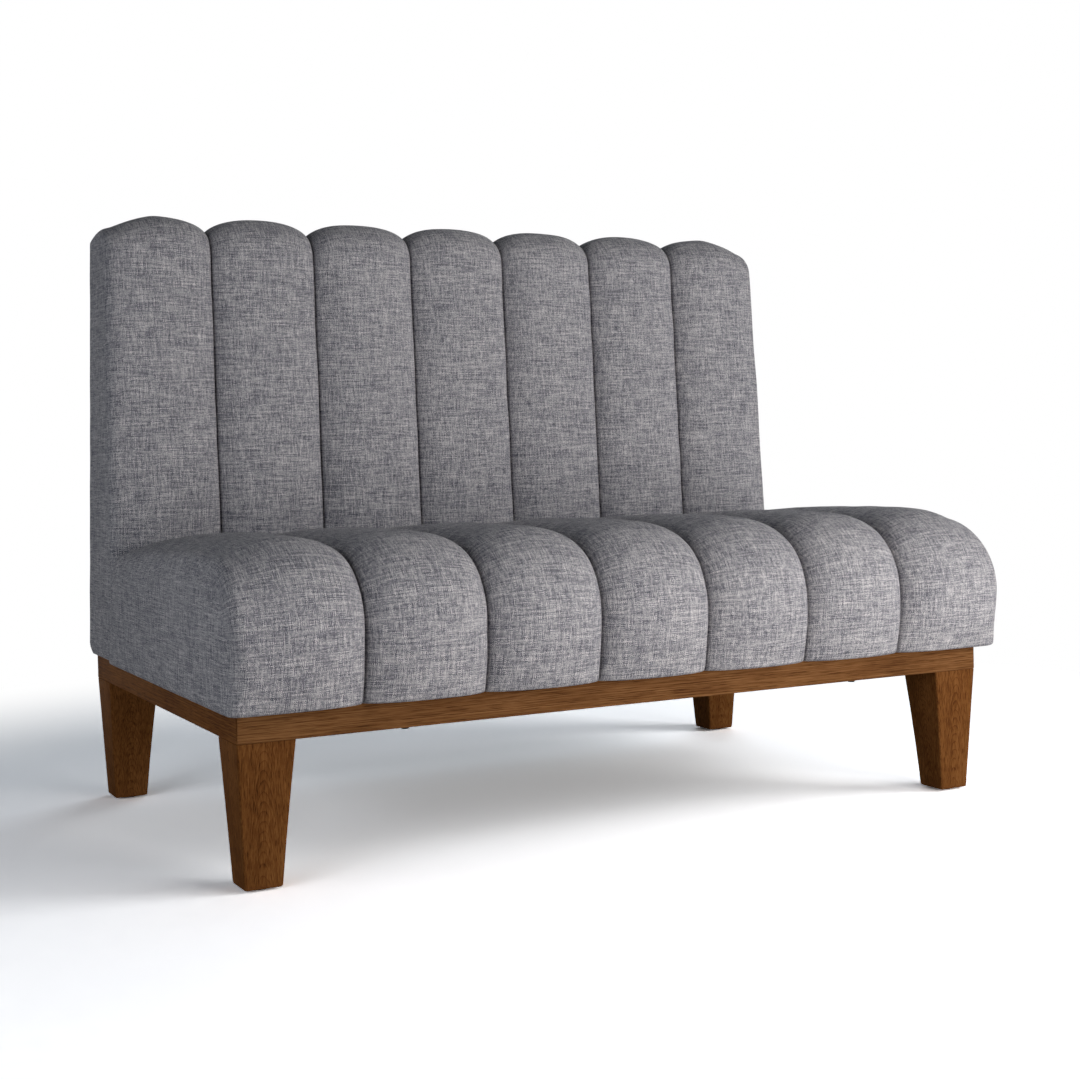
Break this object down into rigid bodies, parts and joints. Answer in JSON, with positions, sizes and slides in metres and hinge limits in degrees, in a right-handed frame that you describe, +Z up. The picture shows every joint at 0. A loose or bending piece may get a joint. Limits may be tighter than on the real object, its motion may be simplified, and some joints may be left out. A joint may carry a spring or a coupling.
{
  "type": "restaurant booth bench",
  "caption": "Upholstered booth bench with a high back, its seat and back sewn in wide upright padded channels, on a wooden rail base with square tapered legs.",
  "frame": {"origin": "middle of the bench on the floor, under the centre of its overall box", "axes": "+Z up; +X along the bench towards its left-hand end as someone sits on it (the right end seen from the front); -Y is the front, where the sitter faces"},
  "size_m": [1.216, 0.762, 0.912],
  "materials": {
    "walnut": "satin lacquer",
    "frame_pine": "bare",
    "plywood": "bare",
    "grey_fabric": "coarse flat weave",
    "foam": "open-cell foam",
    "cambric": "thin non-woven",
    "zinc_steel": "zinc plated",
    "nylon": "matte"
  },
  "bodies": {
    "root": {"back_bolts": "zinc_steel", "back_bottom_rail": "frame_pine", "back_channel_1": "grey_fabric", "back_channel_2": "grey_fabric", "back_channel_3": "grey_fabric", "back_channel_4": "grey_fabric", "back_channel_5": "grey_fabric", "back_channel_6": "grey_fabric", "back_channel_7": "grey_fabric", "back_middle_rail": "frame_pine", "back_nuts": "zinc_steel", "back_panel": "plywood", "back_rib_inner_left": "plywood", "back_rib_inner_right": "plywood", "back_rib_outer_left": "plywood", "back_rib_outer_right": "plywood", "back_side_pad_left": "grey_fabric", "back_side_pad_right": "grey_fabric", "back_sill": "frame_pine", "back_top_rail": "frame_pine", "base_cross_rail": "frame_pine", "base_rail_front": "walnut", "base_rail_left": "walnut", "base_rail_rear": "walnut", "base_rail_right": "walnut", "base_screws": "zinc_steel", "corner_block_front_left": "frame_pine", "corner_block_front_right": "frame_pine", "corner_block_rear_left": "frame_pine", "corner_block_rear_right": "frame_pine", "dust_cloth": "cambric", "foot_glides": "nylon", "hanger_bolts": "zinc_steel", "hanger_nuts": "zinc_steel", "leg_front_left": "walnut", "leg_front_right": "walnut", "leg_rear_left": "walnut", "leg_rear_right": "walnut", "outside_back_panel": "grey_fabric", "seat_box_cross_left": "frame_pine", "seat_box_cross_right": "frame_pine", "seat_box_front": "frame_pine", "seat_box_left": "frame_pine", "seat_box_rear": "frame_pine", "seat_box_right": "frame_pine", "seat_channel_1": "grey_fabric", "seat_channel_2": "grey_fabric", "seat_channel_3": "grey_fabric", "seat_channel_4": "grey_fabric", "seat_channel_5": "grey_fabric", "seat_channel_6": "grey_fabric", "seat_channel_7": "grey_fabric", "seat_deck": "plywood", "seat_foam_core": "foam", "seat_side_pad_left": "grey_fabric", "seat_side_pad_right": "grey_fabric"}
  },
  "joints": []
}
